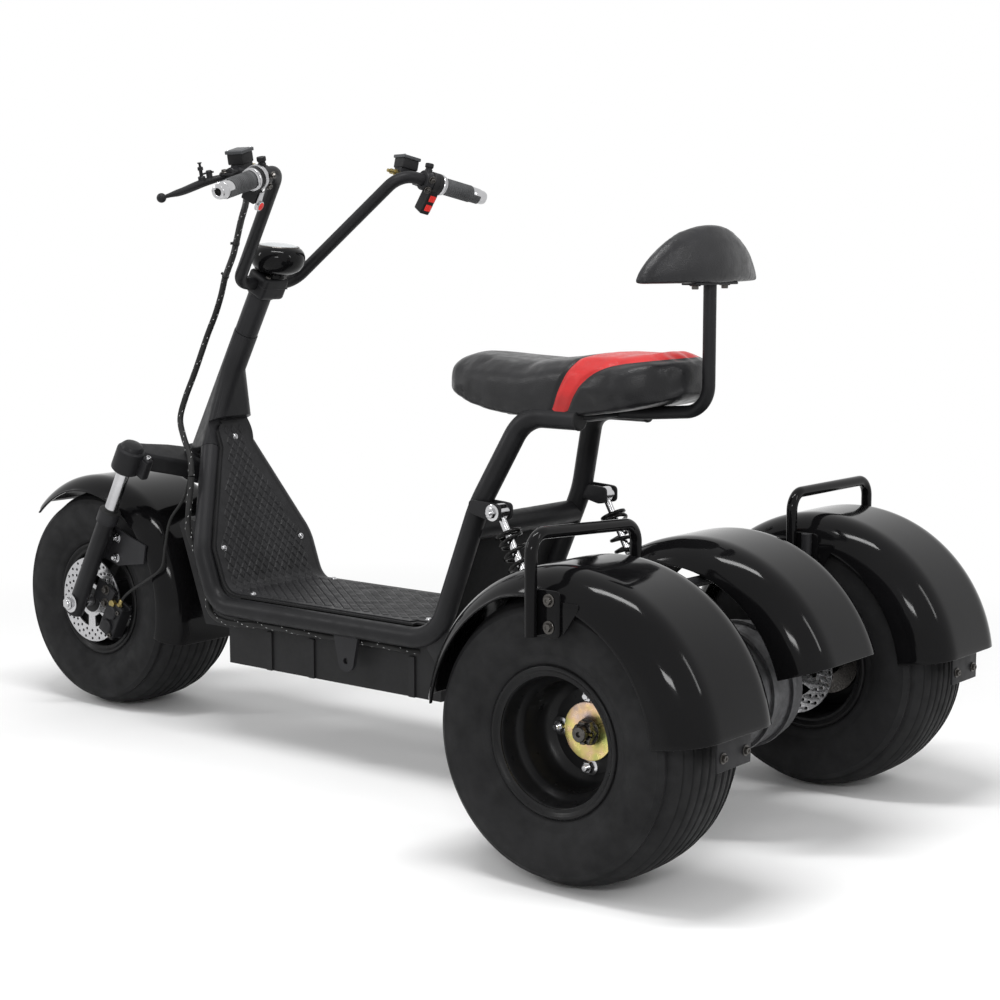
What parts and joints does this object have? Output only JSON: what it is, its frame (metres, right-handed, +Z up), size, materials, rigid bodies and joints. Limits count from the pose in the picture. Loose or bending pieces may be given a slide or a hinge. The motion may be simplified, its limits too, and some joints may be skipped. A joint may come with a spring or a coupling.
{
  "type": "three-wheeled electric scooter",
  "caption": "Step-through electric scooter with a steered front wheel, driven rear wheels under fenders, a low footboard, a padded seat and a backrest.",
  "frame": {"origin": "on the ground under the middle of the scooter's bounding box", "axes": "+X forward along the scooter, +Y to the rider's left, +Z up"},
  "size_m": [2.0034, 1.0136, 1.1502],
  "materials": {
    "frame_black": "satin",
    "fender_gloss": "gloss",
    "plastic_black": "satin",
    "mat": "embossed",
    "aluminium": "cast",
    "steel": "brushed",
    "spring_black": "gloss",
    "chrome": "polished",
    "zinc_gold": "plated",
    "rim_black": "satin",
    "tyre": "matte",
    "grip_rubber": "ribbed",
    "cable": "braided",
    "seat_leather": "grained",
    "back_leather": "grained"
  },
  "bodies": {
    "frame": {"head_tube": "frame_black", "frame_tube_left": "frame_black", "frame_tube_right": "frame_black", "frame_cross_tubes": "frame_black", "footboard": "mat", "battery_box": "plastic_black", "controller_box": "plastic_black", "rear_panel": "frame_black", "stand_bracket": "frame_black", "swing_arm": "frame_black", "axle_housing": "frame_black", "drive_unit": "aluminium", "shock_absorbers": "steel", "shock_springs": "spring_black", "rear_calipers": "frame_black", "fender_frame": "frame_black", "fender_left": "fender_gloss", "fender_right": "fender_gloss", "fender_centre": "fender_gloss", "grab_rail_left": "frame_black", "grab_rail_right": "frame_black", "lamp_brackets": "frame_black", "seat_pan": "plastic_black", "seat_cushion": "seat_leather", "backrest_post": "frame_black", "backrest_pad": "back_leather", "loom_lower": "cable"},
    "steering": {"steering_stem": "frame_black", "fork_crown": "frame_black", "fork_stanchions": "chrome", "fork_legs": "frame_black", "front_axle": "steel", "front_fender": "fender_gloss", "front_caliper": "frame_black", "bar_clamp": "frame_black", "handlebar": "frame_black", "instrument": "fender_gloss", "grips": "grip_rubber", "grip_ends": "chrome", "brake_levers": "frame_black", "fluid_reservoirs": "plastic_black", "switch_pods": "plastic_black", "loom_upper": "cable", "brake_hose": "cable"},
    "front_wheel": {"front_tyre": "tyre", "front_rim": "rim_black", "front_hub": "rim_black", "front_disc": "steel"},
    "rear_left_wheel": {"rear_left_tyre": "tyre", "rear_left_rim": "rim_black", "rear_left_hub": "zinc_gold", "rear_left_disc": "steel"},
    "rear_right_wheel": {"rear_right_tyre": "tyre", "rear_right_rim": "rim_black", "rear_right_hub": "zinc_gold", "rear_right_disc": "steel"}
  },
  "joints": [
    {"name": "steering", "type": "hinge", "parent": "frame", "child": "steering", "pos_m": [0.73107, 0, 0.2056], "axis": [-0.4772, 0, 0.8788], "range_deg": [-35, 35]},
    {"name": "front_wheel_spin", "type": "hinge", "parent": "steering", "child": "front_wheel", "pos_m": [0.77325, 0, 0.2285], "axis": [0, 1, 0], "continuous": true},
    {"name": "rear_left_spin", "type": "hinge", "parent": "frame", "child": "rear_left_wheel", "pos_m": [-0.70175, 0.3685, 0.2285], "axis": [0, 1, 0], "continuous": true},
    {"name": "rear_right_spin", "type": "hinge", "parent": "frame", "child": "rear_right_wheel", "pos_m": [-0.70175, -0.3685, 0.2285], "axis": [0, 1, 0], "continuous": true}
  ]
}
